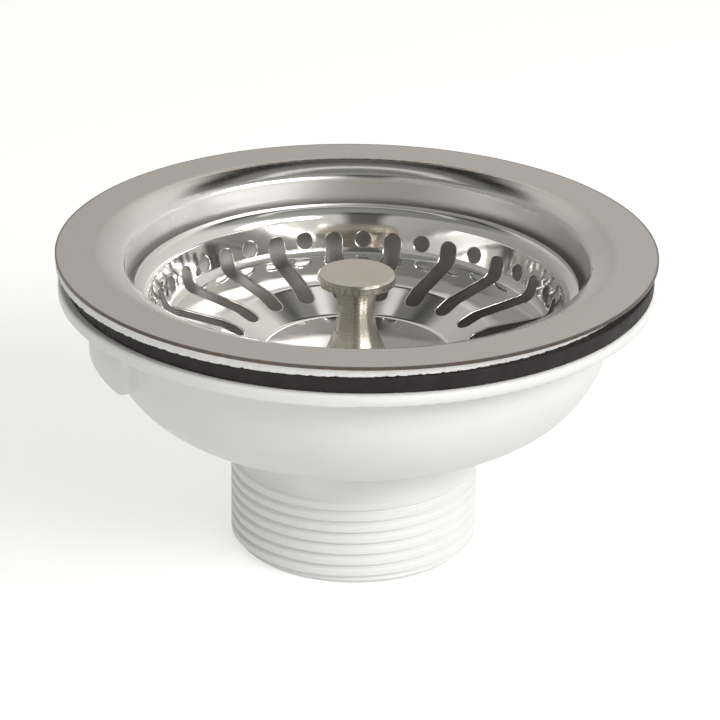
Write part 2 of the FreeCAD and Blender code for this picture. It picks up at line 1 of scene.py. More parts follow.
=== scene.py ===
# %% [markdown]
# A basket strainer waste closes the hole in a kitchen sink's bottom. A pressed steel flange lies
# in the hole, a strainer basket lifts out of its cup, and a white moulded body is clamped below.
# The solids of all thirteen pieces are already made, so this lesson only adds what they lack:
# the moulded thread, the soft and uneven washers, the rolled edges of the punched basket, the
# fine curve of the knob, the finishes, the light and the camera. Everything is in metres, in the
# same frame as the solids.

# %% Load the solids
import json
import math

import bmesh
import bpy
from mathutils import Matrix, Vector
from mathutils.geometry import delaunay_2d_cdt


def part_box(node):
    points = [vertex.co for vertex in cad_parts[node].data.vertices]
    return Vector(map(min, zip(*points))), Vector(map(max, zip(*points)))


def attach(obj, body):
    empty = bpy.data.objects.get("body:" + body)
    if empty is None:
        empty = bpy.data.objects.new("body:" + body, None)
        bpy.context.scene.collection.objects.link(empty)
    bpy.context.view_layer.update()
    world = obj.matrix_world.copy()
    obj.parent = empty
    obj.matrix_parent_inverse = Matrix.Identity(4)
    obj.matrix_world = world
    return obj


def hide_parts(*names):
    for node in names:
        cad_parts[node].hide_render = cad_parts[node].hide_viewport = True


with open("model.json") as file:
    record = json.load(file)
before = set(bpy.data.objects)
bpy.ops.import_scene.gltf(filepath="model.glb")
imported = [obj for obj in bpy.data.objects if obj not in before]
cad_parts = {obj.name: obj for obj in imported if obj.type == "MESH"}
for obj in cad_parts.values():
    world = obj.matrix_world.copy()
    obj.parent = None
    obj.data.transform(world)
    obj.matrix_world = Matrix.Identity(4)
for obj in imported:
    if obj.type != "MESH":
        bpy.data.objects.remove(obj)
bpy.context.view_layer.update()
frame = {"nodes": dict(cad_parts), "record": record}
scene = bpy.context.scene
MM = 0.001
print("pieces:", ", ".join(sorted(frame["nodes"])))

# %% [markdown]
# The sheets and washers fix where everything else goes. Reading the heights and radii from the
# solids keeps this script true when a size of the part changes.

# %% Measure the solids
def reach(node):
    """Largest distance of a turned piece from the upright axis."""
    low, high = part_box(node)
    return (high.x - low.x) / 2


FLANGE_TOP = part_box("sink_flange")[1].z
FLANGE_RADIUS = reach("sink_flange")
print(f"flange {2 * FLANGE_RADIUS / MM:.1f} mm across, top at {FLANGE_TOP / MM:.1f} mm")

# %% [markdown]
# Finishes, meshes that follow a rule and the light of the room are all made of nodes, small steps
# that hand numbers, colours or meshes on to each other. They could be drawn by hand in an editor.
# Here a short helper adds and joins them, so that each tree can be read as a few lines.

# %% Helpers for nodes
class Graph:
    """A tree of nodes with short ways to add and join them."""

    def __init__(self, tree):
        self.tree = tree

    def add(self, kind, inputs=None, **settings):
        node = self.tree.nodes.new(kind)
        for key, setting in settings.items():
            setattr(node, key, setting)
        for key, item in (inputs or {}).items():
            self.feed(item, node.inputs[key])
        return node

    def feed(self, item, socket):
        """Joins an output of another node to a socket, or gives the socket a fixed setting."""
        if isinstance(item, bpy.types.NodeSocket):
            self.tree.links.new(item, socket)
        else:
            socket.default_value = item

    def math(self, operation, *items):
        node = self.add("ShaderNodeMath", operation=operation)
        for item, socket in zip(items, node.inputs):
            self.feed(item, socket)
        return node.outputs[0]

    def change(self, item, first, last, start=0.0, end=1.0, way="SMOOTHSTEP"):
        """Goes from start to end while an item goes from first to last."""
        node = self.add("ShaderNodeMapRange", {"Value": item, "From Min": first, "From Max": last,
                                               "To Min": start, "To Max": end}, interpolation_type=way)
        return node.outputs["Result"]

    def blend(self, share, first, last):
        """A colour between two colours."""
        node = self.add("ShaderNodeMix", {"Factor": share, "A": first, "B": last}, data_type="RGBA")
        return node.outputs["Result"]

    def ramp(self, item, steps):
        """Colours along a number from 0 to 1. The first and the last go on to the ends."""
        node = self.add("ShaderNodeValToRGB", {"Fac": item})
        stops = node.color_ramp.elements
        stops[0].color = (*steps[0][1], 1)
        stops[1].color = (*steps[-1][1], 1)
        for place, colour in steps:
            stops.new(place).color = (*colour, 1)
        return node.outputs["Color"]


# %% [markdown]
# A finish is a surface shader with patterns that feed it. Most of these finishes were turned,
# pressed or polished round the upright axis, so their fine lines are circles. A pattern that
# reads only the distance from the axis and the height gives such circles without any unwrapping.

# %% Helpers for finishes
UPRIGHT_STRETCH = (1.0, 1.0, 0.02)


class Finish(Graph):
    """A material with one surface shader and the patterns that the finishes share."""

    def __init__(self, name):
        self.material = bpy.data.materials.new(name)
        self.material.use_nodes = True
        super().__init__(self.material.node_tree)
        self.surface = self.tree.nodes["Principled BSDF"]
        self.place = self.add("ShaderNodeTexCoord").outputs["Object"]

    def set(self, name, item):
        """Gives one input of the surface shader its setting or its pattern."""
        self.feed(item, self.surface.inputs[name])

    def metal(self):
        self.set("Metallic", 1.0)
        return self

    def radius(self):
        """Distance from the upright axis, and height."""
        split = self.add("ShaderNodeSeparateXYZ", {0: self.place})
        across = self.math("MULTIPLY", split.outputs["X"], split.outputs["X"])
        along = self.math("MULTIPLY", split.outputs["Y"], split.outputs["Y"])
        return self.math("SQRT", self.math("ADD", across, along)), split.outputs["Z"]

    def rings(self):
        """A place that is the same all round the axis, for lines left by turning or polishing."""
        distance, height = self.radius()
        return self.add("ShaderNodeCombineXYZ", {"X": distance, "Z": height}).outputs[0]

    def flattened(self):
        """A place with hardly any height, for streaks that run upright."""
        return self.add("ShaderNodeMapping", {"Vector": self.place, "Scale": UPRIGHT_STRETCH}).outputs[0]

    def noise(self, scale, detail=3.0, place=None):
        texture = self.add("ShaderNodeTexNoise", {"Vector": place or self.place,
                                                  "Scale": scale, "Detail": detail})
        return texture.outputs["Fac"]

    def spread(self, pattern, low, high, first=0.3, last=0.7):
        """Maps a pattern to a range of numbers."""
        return self.change(pattern, first, last, low, high, "LINEAR")

    def colour(self, pattern, low, high):
        """Tints the surface between two colours by a pattern."""
        self.set("Base Color", self.blend(self.spread(pattern, 0, 1), (*low, 1), (*high, 1)))

    def roughness(self, pattern, low, high):
        self.set("Roughness", self.spread(pattern, low, high))

    def bump(self, pattern, height):
        """Raises the surface by up to a height, in metres."""
        node = self.add("ShaderNodeBump", {"Height": pattern, "Strength": 1.0, "Distance": height})
        self.set("Normal", node.outputs["Normal"])


# %% [markdown]
# The flange was polished on a wheel. Its ring is brushed to a satin, the narrow shoulder that
# leads into the cup is left bright, and the wall of the cup keeps upright streaks from the press.
# A ramp over the distance from the axis gives each zone its roughness, and the shoulder is a
# little crowned, so that it mirrors more of the room than its straight section would. Towards the
# bottom of the cup the steel is darker and browner. The thin dark band at the sheet's outer edge
# is painted shade, in place of the dark reflection of its rounded edge.

# %% Steel of the flange
SHOULDER_INNER, SHOULDER_OUTER = FLANGE_RADIUS - 13.0 * MM, FLANGE_RADIUS - 8.6 * MM
SHOULDER_MIDDLE = (SHOULDER_INNER + SHOULDER_OUTER) / 2
SHOULDER_HALF = (SHOULDER_OUTER - SHOULDER_INNER) / 2
SHOULDER_CROWN, CROWN_SOFTNESS = 0.12 * MM, 1.5
LINE_DEPTH = 0.0006 * MM
CIRCLES_PER_METRE, STREAKS_PER_METRE = 2600, 1400
ZONE_BLEND, EDGE_SHADE_WIDTH = 0.9 * MM, 0.3 * MM
WALL_ROUGHNESS, SHOULDER_ROUGHNESS, RING_ROUGHNESS = 0.62, 0.11, 0.36
# The last tint is a painted shade: a thin dark band at the flange's outer edge, in place of the dark
# reflection that its rounded edge shows.
WALL_TINT, RING_TINT, EDGE_SHADE_TINT = (0.84, 0.83, 0.82), (0.68, 0.64, 0.615), (0.10, 0.08, 0.07)
# Towards the bottom of the cup the steel is tinted darker and browner.
DEEP_TINT, DEEP_FROM, DEEP_TO = (0.42, 0.385, 0.35), FLANGE_TOP - 17.0 * MM, FLANGE_TOP - 25.0 * MM
FLANGE_ROUGHNESS = (
    (SHOULDER_INNER - ZONE_BLEND / 3, WALL_ROUGHNESS), (SHOULDER_INNER, SHOULDER_ROUGHNESS),
    (SHOULDER_OUTER, SHOULDER_ROUGHNESS), (SHOULDER_OUTER + ZONE_BLEND, RING_ROUGHNESS),
)
FLANGE_TINTS = (
    (SHOULDER_INNER, WALL_TINT), (SHOULDER_OUTER, RING_TINT),
    (FLANGE_RADIUS - EDGE_SHADE_WIDTH, RING_TINT), (FLANGE_RADIUS - EDGE_SHADE_WIDTH / 2, EDGE_SHADE_TINT),
)


def satin_steel():
    finish = Finish("satin_steel").metal()
    distance, height = finish.radius()
    share = finish.math("DIVIDE", distance, FLANGE_RADIUS)
    # The ramp ends in the painted shade at the outer edge of the flange.
    tint = finish.ramp(share, [(place / FLANGE_RADIUS, colour) for place, colour in FLANGE_TINTS])
    deepening = finish.spread(height, 0, 1, DEEP_FROM, DEEP_TO)
    finish.set("Base Color", finish.blend(deepening, tint, (*DEEP_TINT, 1)))
    circles = finish.noise(CIRCLES_PER_METRE, 2, finish.rings())
    streaks = finish.noise(STREAKS_PER_METRE, 2, finish.flattened())
    rough = finish.ramp(share, [(place / FLANGE_RADIUS, [grey] * 3) for place, grey in FLANGE_ROUGHNESS])
    grain = finish.spread(finish.math("MULTIPLY", circles, streaks), -0.03, 0.04, 0.1, 0.4)
    finish.set("Roughness", finish.math("ADD", rough, grain))
    offset = finish.math("DIVIDE", finish.math("SUBTRACT", distance, SHOULDER_MIDDLE), SHOULDER_HALF)
    arch = finish.math("SUBTRACT", 1.0, finish.math("MULTIPLY", offset, offset))
    crown = finish.math("POWER", finish.math("MAXIMUM", arch, 0.0), CROWN_SOFTNESS)
    lines = finish.math("MULTIPLY", finish.math("ADD", circles, streaks), LINE_DEPTH / SHOULDER_CROWN)
    finish.bump(finish.math("ADD", crown, lines), SHOULDER_CROWN)
    return finish.material


# %% [markdown]
# The basket is polished until it mirrors what is round it. A perfect mirror looks false, so a
# slow, faint wave in the sheet bends the reflections as a pressed sheet does.

# %% Steel of the basket
SHEET_WAVE = 0.042 * MM


def polished_steel():
    finish = Finish("polished_steel").metal()
    finish.colour(finish.noise(35), (0.80, 0.78, 0.75), (0.86, 0.85, 0.83))
    finish.roughness(finish.noise(300), 0.05, 0.09)
    finish.bump(finish.noise(110, 1), SHEET_WAVE)
    return finish.material


# %% [markdown]
# The knob and the stem are turned from brass and plated. The tool leaves lines round them that
# the plating doesn't hide, and they smear a reflection across the lines, so the shine stands in
# upright bands. The colour is a warm, pale grey.

# %% Plated brass of the knob
STEEPEST_FLAT, SMEAR, ACROSS_LINES = 0.9, 0.95, 0.25


def nickel_plate():
    finish = Finish("nickel_plate").metal()
    lines = finish.noise(3200, 2, finish.rings())
    finish.colour(finish.noise(120), (0.66, 0.60, 0.52), (0.72, 0.66, 0.58))
    finish.roughness(lines, 0.20, 0.30)
    finish.bump(lines, 0.003 * MM)
    tangent = finish.add("ShaderNodeTangent", direction_type="RADIAL", axis="Z")
    facing = finish.add("ShaderNodeSeparateXYZ", {0: finish.add("ShaderNodeTexCoord").outputs["Normal"]})
    steep = finish.math("LESS_THAN", finish.math("ABSOLUTE", facing.outputs["Z"]), STEEPEST_FLAT)
    finish.set("Tangent", tangent.outputs[0])
    finish.set("Anisotropic", finish.math("MULTIPLY", steep, SMEAR))
    finish.set("Anisotropic Rotation", ACROSS_LINES)
    return finish.material


# %% [markdown]
# The rest are plain finishes: moulded plastic with a faint orange peel, matt rubber, cut foam
# with its cells open, brass as it left the lathe and a stamped washer.

# %% Plastic, rubber, foam, brass and plain steel
def white_plastic():
    finish = Finish("white_plastic")
    finish.colour(finish.noise(30), (0.80, 0.80, 0.79), (0.84, 0.84, 0.83))
    finish.roughness(finish.noise(90), 0.34, 0.42)
    finish.bump(finish.noise(700, 2), 0.004 * MM)
    return finish.material


def black_rubber():
    finish = Finish("black_rubber")
    finish.colour(finish.noise(220), (0.009, 0.0065, 0.0072), (0.018, 0.0135, 0.0145))
    finish.roughness(finish.noise(400), 0.5, 0.66)
    finish.set("Specular IOR Level", 0.3)
    finish.bump(finish.noise(900), 0.03 * MM)
    return finish.material


def cut_foam():
    finish = Finish("foam")
    cells = finish.add("ShaderNodeTexVoronoi", {"Vector": finish.place, "Scale": 1500})
    finish.colour(finish.noise(500), (0.84, 0.84, 0.835), (0.92, 0.92, 0.915))
    finish.set("Roughness", 0.9)
    finish.bump(cells.outputs["Distance"], 0.12 * MM)
    return finish.material


def turned_brass():
    finish = Finish("brass").metal()
    lines = finish.noise(2400, 2, finish.rings())
    finish.colour(finish.noise(90), (0.68, 0.47, 0.19), (0.74, 0.54, 0.25))
    finish.roughness(lines, 0.24, 0.36)
    finish.bump(lines, 0.003 * MM)
    return finish.material


def plain_steel():
    finish = Finish("plain_steel").metal()
    finish.colour(finish.noise(150), (0.52, 0.52, 0.51), (0.60, 0.60, 0.59))
    finish.roughness(finish.noise(500), 0.28, 0.42)
    finish.bump(finish.noise(800), 0.004 * MM)
    return finish.material


FINISHES = {
    "satin_steel": satin_steel(), "polished_steel": polished_steel(), "nickel_plate": nickel_plate(),
    "white_plastic": white_plastic(), "black_rubber": black_rubber(), "foam": cut_foam(),
    "brass": turned_brass(), "plain_steel": plain_steel(),
}
for piece in frame["record"]["subparts"]:
    mesh = frame["nodes"][piece["node"]].data
    mesh.materials.clear()
    mesh.materials.append(FINISHES[piece["material_slot"]])
print("finishes:", ", ".join(FINISHES))

# %% [markdown]
# A Geometry Nodes tree is a rule that makes a mesh. Each tree here gets named inputs for its
# sizes, and its result is kept as a plain mesh, because the export wants plain meshes.

# %% Helpers for rules
class Rule(Graph):
    """A Geometry Nodes tree with named inputs."""

    def __init__(self, name):
        super().__init__(bpy.data.node_groups.new(name, "GeometryNodeTree"))
        for way in ("OUTPUT", "INPUT"):
            self.tree.interface.new_socket("Geometry", in_out=way, socket_type="NodeSocketGeometry")
        self.source = self.add("NodeGroupInput")
        self.settings = {}

    def number(self, name, setting, kind="NodeSocketFloat"):
        """A named input and the number that this object gives it."""
        socket = self.tree.interface.new_socket(name, in_out="INPUT", socket_type=kind)
        self.settings[socket.identifier] = setting
        return self.source.outputs[name]

    def bake(self, label, material, geometry, mesh=None):
        """Ends the tree, runs it once and returns its result as a plain object."""
        realize = self.add("GeometryNodeRealizeInstances", {"Geometry": geometry})
        paint = self.add("GeometryNodeSetMaterial", {"Geometry": realize.outputs[0], "Material": material})
        self.add("NodeGroupOutput", {0: paint.outputs[0]})
        base = bpy.data.objects.new(f"{label}_rule", mesh or bpy.data.meshes.new(f"{label}_base"))
        scene.collection.objects.link(base)
        modifier = base.modifiers.new(label, "NODES")
        modifier.node_group = self.tree
        for identifier, setting in self.settings.items():
            modifier[identifier] = setting
        ready = base.evaluated_get(bpy.context.evaluated_depsgraph_get())
        result = bpy.data.meshes.new_from_object(ready)
        base.modifiers.remove(modifier)
        bpy.data.objects.remove(base)
        return show(label, result)


def show(label, mesh):
    mesh.name = label
    item = bpy.data.objects.new(label, mesh)
    scene.collection.objects.link(item)
    print(f"{label}: {len(mesh.polygons)} faces")
    return item


# %% [markdown]
# The outlet carries a moulded pipe thread with broad round crests and narrow grooves. It could be
# cut from the solid with a swept profile, but a thread is a rule: the radius falls wherever the
# height, less the climb of the turn, comes to the middle of a groove. The tree rolls a flat grid
# into a sleeve by that rule. The thread fades out at its top and starts at a chamfer.

# %% The thread as a rule
THREAD_RADIUS = 23.9 * MM
THREAD_LENGTH = 17.0 * MM
THREAD_PITCH = 2.309 * MM
THREAD_CHAMFER = 1.4 * MM
THREAD_SEAM = 0.1 * MM
NECK_RADIUS = 23.4 * MM
NECK_HEIGHT = THREAD_LENGTH + THREAD_RADIUS - NECK_RADIUS
OUTLET_WALL_OUTER = THREAD_RADIUS - THREAD_CHAMFER
SLEEVE_WELD = 0.002 * MM


def thread_sleeve(material):
    rule = Rule("outlet_thread")
    radius = rule.number("Radius", THREAD_RADIUS)
    length = rule.number("Length", NECK_HEIGHT - 2 * THREAD_SEAM)
    seam = rule.number("Seam", THREAD_SEAM)
    pitch = rule.number("Pitch", THREAD_PITCH)
    depth = rule.number("Groove depth", 0.95 * MM)
    width = rule.number("Half groove", 0.62 * MM)
    start = rule.number("Start", 0.914 * MM)
    chamfer = rule.number("Chamfer", THREAD_CHAMFER)
    fade = rule.number("Fade from", 14.6 * MM)
    end = rule.number("Fade to", THREAD_LENGTH)
    columns = rule.number("Columns", 289, "NodeSocketInt")
    rows = rule.number("Rows", 161, "NodeSocketInt")
    grid = rule.add("GeometryNodeMeshGrid", {"Size X": 1.0, "Size Y": 1.0,
                                             "Vertices X": columns, "Vertices Y": rows})
    place = rule.add("GeometryNodeInputPosition")
    split = rule.add("ShaderNodeSeparateXYZ", {0: place.outputs[0]})
    turn = rule.math("ADD", split.outputs["X"], 0.5)
    share = rule.math("ADD", split.outputs["Y"], 0.5)
    height = rule.math("ADD", seam, rule.math("MULTIPLY", share, length))
    climb = rule.math("SUBTRACT", rule.math("DIVIDE", rule.math("SUBTRACT", height, start), pitch), turn)
    across = rule.math("ABSOLUTE", rule.math("SUBTRACT", rule.math("FRACT", climb), 0.5))
    groove = rule.change(rule.math("MULTIPLY", across, pitch), 0.0, width, 1.0, 0.0)
    fading = rule.change(height, fade, end, 1.0, 0.0)
    cut = rule.math("MULTIPLY", rule.math("MULTIPLY", groove, depth), fading)
    crest = rule.math("MINIMUM", radius, rule.math("ADD", rule.math("SUBTRACT", radius, chamfer), height))
    relief = rule.math("SUBTRACT", rule.math("ADD", radius, end), height)
    outside = rule.math("SUBTRACT", rule.math("MINIMUM", crest, relief), cut)
    angle = rule.math("MULTIPLY", turn, math.tau)
    rolled = rule.add("ShaderNodeCombineXYZ", {
        "X": rule.math("MULTIPLY", outside, rule.math("COSINE", angle)),
        "Y": rule.math("MULTIPLY", outside, rule.math("SINE", angle)), "Z": height})
    sleeve = rule.add("GeometryNodeSetPosition",
                      {"Geometry": grid.outputs["Mesh"], "Position": rolled.outputs[0]})
    weld = rule.add("GeometryNodeMergeByDistance", {"Geometry": sleeve.outputs[0], "Distance": SLEEVE_WELD})
    shade = rule.add("GeometryNodeSetShadeSmooth", {"Geometry": weld.outputs[0]})
    return rule.bake("thread_sleeve", material, shade.outputs[0])


# %% [markdown]
# The moulded body keeps its solid, with the overflow box, the spider and the seat of the nut.
# Only the plain outside of its outlet is taken away from a copy, and the sleeve takes its place. A
# narrow seam at each end of the sleeve joins its ring of points to that of the solid.

# %% The moulded body with its thread
SAME_POINT, SAME_FACE = 0.001 * MM, 0.02 * MM
SHARP_EDGE = math.radians(32)


def merged_copy(node, label):
    """A copy of a solid's mesh with its loose triangles joined."""
    mesh = frame["nodes"][node].data.copy()
    mesh.name = label
    work = bmesh.new()
    work.from_mesh(mesh)
    bmesh.ops.remove_doubles(work, verts=work.verts, dist=SAME_POINT)
    return mesh, work


def on_outlet_outside(face):
    return all(vert.co.xy.length > OUTLET_WALL_OUTER - SAME_FACE and vert.co.z < NECK_HEIGHT + SAME_FACE
               for vert in face.verts)


def bridge_open_rings(work, is_first):
    """Joins two pairs of open rings, which a test of their place tells apart, and returns the new faces."""
    edges = [edge for edge in work.edges if edge.is_boundary]
    first = [edge for edge in edges if is_first(edge.verts[0].co)]
    second = [edge for edge in edges if not is_first(edge.verts[0].co)]
    made = [face for pair in (first, second) for face in bmesh.ops.bridge_loops(work, edges=pair)["faces"]]
    bmesh.ops.recalc_face_normals(work, faces=work.faces)
    return made


def moulded_body():
    mesh, work = merged_copy("waste_body", "moulded_body")
    plain = [face for face in work.faces if on_outlet_outside(face)]
    bmesh.ops.delete(work, geom=plain, context="FACES")
    sleeve = thread_sleeve(FINISHES["white_plastic"])
    work.from_mesh(sleeve.data)
    bpy.data.objects.remove(sleeve)
    bridge_open_rings(work, lambda place: place.z < THREAD_LENGTH / 2)
    for face in work.faces:
        face.smooth = True
    work.to_mesh(mesh)
    work.free()
    mesh.set_sharp_from_angle(angle=SHARP_EDGE)
    return show("moulded_body", mesh)


body = moulded_body()
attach(body, "waste")
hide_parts("waste_body")

# %% [markdown]
# The foam washer was stamped from a soft sheet, so its lower edge is torn in small bites, and the
# rubber seal below it is a little uneven. Sculpting a ring of 350 mm by hand would take hours.
# A rule does it in one go: a rounded section is swept round a circle, and then noise pulls the
# outside in and nibbles the lower edge, always inwards, so the ring never outgrows its solid.

# %% Soft rings under the flange
WAVE_SCALE, BITE_SCALE = 70.0, 1300.0
BITE_FROM, BITE_TO = 0.42, 0.68


def soft_ring(label, node, edge, waves, bites):
    """A swept ring that takes its place and size from a solid."""
    low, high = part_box(node)
    middle = (low + high) / 2
    bore = min((vert.co.xy - middle.xy).length for vert in frame["nodes"][node].data.vertices)
    rule = Rule(label)
    outer = rule.number("Outer radius", reach(node))
    inner = rule.number("Inner radius", bore)
    thick = rule.number("Thickness", high.z - low.z)
    wave_depth = rule.number("Wave depth", waves)
    bite_depth = rule.number("Bite depth", bites)
    around = rule.number("Steps round", 900, "NodeSocketInt")
    half = rule.math("MULTIPLY", thick, 0.5)
    mean = rule.math("MULTIPLY", rule.math("ADD", outer, inner), 0.5)
    width = rule.math("SUBTRACT", outer, inner)
    path = rule.add("GeometryNodeCurvePrimitiveCircle", {"Resolution": around, "Radius": mean})
    section = rule.add("GeometryNodeCurvePrimitiveQuadrilateral", {"Width": width, "Height": thick})
    rounded = rule.add("GeometryNodeFilletCurve", {"Curve": section.outputs[0], "Count": 3, "Radius": edge},
                       mode="POLY")
    fine = rule.add("GeometryNodeSubdivideCurve", {"Curve": rounded.outputs[0], "Cuts": 2})
    swept = rule.add("GeometryNodeCurveToMesh",
                     {"Curve": path.outputs[0], "Profile Curve": fine.outputs[0]})
    place = rule.add("GeometryNodeInputPosition").outputs[0]
    split = rule.add("ShaderNodeSeparateXYZ", {0: place})
    flat = rule.add("ShaderNodeCombineXYZ", {"X": split.outputs["X"], "Y": split.outputs["Y"]})
    distance = rule.add("ShaderNodeVectorMath", {0: flat.outputs[0]}, operation="LENGTH").outputs["Value"]
    outwards = rule.add("ShaderNodeVectorMath", {0: flat.outputs[0]}, operation="NORMALIZE").outputs[0]
    slow = rule.add("ShaderNodeTexNoise", {"Vector": flat.outputs[0], "Scale": WAVE_SCALE, "Detail": 2.0})
    quick = rule.add("ShaderNodeTexNoise", {"Vector": flat.outputs[0], "Scale": BITE_SCALE, "Detail": 3.0})
    outside = rule.change(distance, mean, outer)
    below = rule.change(split.outputs["Z"], half, rule.math("MULTIPLY", half, -1.0))
    torn = rule.change(quick.outputs[0], BITE_FROM, BITE_TO)
    bite = rule.math("MULTIPLY", torn, rule.math("MULTIPLY", outside, below))
    wave = rule.math("MULTIPLY", rule.math("MULTIPLY", slow.outputs[0], wave_depth), outside)
    pull = rule.math("ADD", wave, rule.math("MULTIPLY", bite, rule.math("MULTIPLY", bite_depth, 0.5)))
    inwards = rule.add("ShaderNodeVectorMath", {0: outwards, "Scale": rule.math("MULTIPLY", pull, -1.0)},
                       operation="SCALE")
    lift = rule.add("ShaderNodeCombineXYZ", {"Z": rule.math("MULTIPLY", bite, bite_depth)})
    shift = rule.add("ShaderNodeVectorMath", {0: inwards.outputs[0], 1: lift.outputs[0]})
    worn = rule.add("GeometryNodeSetPosition", {"Geometry": swept.outputs[0], "Offset": shift.outputs[0]})
    home = rule.add("GeometryNodeTransform", {"Geometry": worn.outputs[0], "Translation": middle})
    shade = rule.add("GeometryNodeSetShadeSmooth", {"Geometry": home.outputs[0]})
    slot = next(piece["material_slot"] for piece in frame["record"]["subparts"] if piece["node"] == node)
    ring = rule.bake(label, FINISHES[slot], shade.outputs[0])
    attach(ring, "waste")
    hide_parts(node)


soft_ring("torn_foam", "foam_washer", edge=0.25 * MM, waves=0.2 * MM, bites=0.2 * MM)
soft_ring("uneven_seal", "rubber_seal", edge=0.35 * MM, waves=0.25 * MM, bites=0.06 * MM)

# %% [markdown]
# The basket starts as a flat disc that is pressed into a lip, a steep wall, a floor and a dish,
# and then punched. Its section is a run of straight stretches with round bends between them. A
# helper walks along that section, because every point of the sheet is a length along it and an
# angle about the axis.

# %% Helper for sections
SECTION_PRECISION = 0.0005 * MM


class Section:
    """Straight runs between corners (radius, height, bend), walked by length from the first corner."""

    def __init__(self, corners):
        points = [Vector(corner[:2]) for corner in corners]
        self.runs = []
        start = points[0]
        for before, here, after, corner in zip(points, points[1:], points[2:], corners[1:]):
            heading, leaving = (here - before).normalized(), (after - here).normalized()
            turn = heading.angle_signed(leaving)
            back = corner[2] * math.tan(abs(turn) / 2)
            self.add_line(start, here - heading * back)
            self.add_bend(here - heading * back, heading, -turn, corner[2])
            start = here + leaving * back
        self.add_line(start, points[-1])
        self.length = sum(run["length"] for run in self.runs)

    def add_line(self, first, last):
        heading = (last - first).normalized()
        self.runs.append({"length": (last - first).length, "first": first, "heading": heading, "turn": 0.0})

    def add_bend(self, first, heading, turn, radius):
        self.runs.append({"length": radius * abs(turn), "first": first, "heading": heading,
                          "turn": turn, "radius": radius})

    def at(self, length):
        """Point and outward normal of the upper face at a length along the section."""
        for run in self.runs:
            if length <= run["length"] or run is self.runs[-1]:
                break
            length -= run["length"]
        heading = run["heading"]
        side = Vector((-heading.y, heading.x))
        if run["turn"]:
            angle = length / run["radius"] * math.copysign(1, run["turn"])
            bow = side * (1 - math.cos(angle)) * math.copysign(1, run["turn"])
            point = run["first"] + run["radius"] * (heading * abs(math.sin(angle)) + bow)
            heading = heading * math.cos(angle) + side * math.sin(angle)
        else:
            point = run["first"] + heading * length
        return point, Vector((heading.y, -heading.x))

    def length_at(self, radius):
        """Length along a section that only goes inwards, where it has a given radius."""
        return self.find(0, radius)

    def length_at_height(self, height):
        """Length along a section that only goes down, where it has a given height."""
        return self.find(1, height)

    def find(self, axis, wanted):
        low, high = 0.0, self.length
        while high - low > SECTION_PRECISION:
            middle = (low + high) / 2
            low, high = (middle, high) if self.at(middle)[0][axis] > wanted else (low, middle)
        return (low + high) / 2

    def stations(self, straight, bent):
        """Lengths to put points at: far apart on straight runs and close in bends."""
        found, passed = [0.0], 0.0
        for run in self.runs:
            steps = max(1, math.ceil(run["length"] / (bent if run["turn"] else straight)))
            found += [passed + run["length"] * step / steps for step in range(1, steps + 1)]
            passed += run["length"]
        return found


# %% [markdown]
# The lip of the basket is rolled so that it hangs on the cup, the wall leans in so that the basket
# comes off the press, and the dish in the middle stiffens the sheet and gives the knob its seat.

# %% The section of the basket
BASKET_RADIUS = reach("strainer_basket")
BASKET_FLOOR, BASKET_TOP = (corner.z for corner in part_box("strainer_basket"))
BASKET_SHEET = 0.5 * MM
STUD_PASSAGE = 2.1 * MM
LIP_WIDTH, LIP_BEND = 2.5 * MM, 3.2 * MM
WALL_INSET, WALL_DEPTH, KNUCKLE_BEND = 4.9 * MM, 8.9 * MM, 2.2 * MM
DISH_RADIUS, DISH_SLOPE, DISH_DEPTH, DISH_BEND = 18.3 * MM, 7.7 * MM, 3.5 * MM, 3.0 * MM
DISH_FLOOR = BASKET_FLOOR + BASKET_SHEET
basket_section = Section([
    (BASKET_RADIUS, BASKET_TOP),
    (BASKET_RADIUS - LIP_WIDTH, BASKET_TOP, LIP_BEND),
    (BASKET_RADIUS - WALL_INSET, BASKET_TOP - WALL_DEPTH, KNUCKLE_BEND),
    (DISH_RADIUS + DISH_SLOPE, DISH_FLOOR + DISH_DEPTH, DISH_BEND),
    (DISH_RADIUS, DISH_FLOOR, DISH_BEND),
    (STUD_PASSAGE, DISH_FLOOR),
])
print(f"basket section: {basket_section.length / MM:.1f} mm of sheet")

# %% [markdown]
# A punch cuts each slot, from the dish over the bend into the wall, and a round hole in the wall
# between each two. On the sheet both are closed outlines of places (length, angle). The inner end
# of a slot is round as seen from above, and its upper end is round as seen along the wall.

# %% Outlines of a slot and a hole
SLOT_COUNT = 20
SLOT_PHASE = math.radians(7.15)
SLOT_INNER, SLOT_TOP = 22.0 * MM, BASKET_TOP - 4.8 * MM
SLOT_WIDTH, SLOT_CORNER = 3.3 * MM, 1.5 * MM
HOLE_RADIUS, HOLE_DROP = 1.6 * MM, 6.1 * MM
CORNER_STEPS, SIDE_STEPS, HOLE_STEPS = 8, 30, 28
SECTOR = math.tau / SLOT_COUNT


def slot_outline(spread):
    """Points round the slot, pushed outwards by a spread."""
    half, bend = SLOT_WIDTH / 2 + spread, SLOT_CORNER + spread
    one_side, upper = [], []
    for step in range(CORNER_STEPS + 1):
        turn = math.pi / 2 * step / CORNER_STEPS
        near, far = bend * (1 - math.cos(turn)), bend * (1 - math.sin(turn))
        plan = Vector((SLOT_INNER - spread + near, half - far))
        one_side.append((basket_section.length_at(plan.length), plan.y))
        upper.append((basket_section.length_at_height(SLOT_TOP + spread - far), half - near))
    first, last = one_side[-1][0], upper[0][0]
    one_side += [(first + (last - first) * step / SIDE_STEPS, half) for step in range(1, SIDE_STEPS)] + upper
    places = [(length, math.asin(across / basket_section.at(length)[0].x)) for length, across in one_side]
    return [(length, -angle) for length, angle in places] + places[::-1]


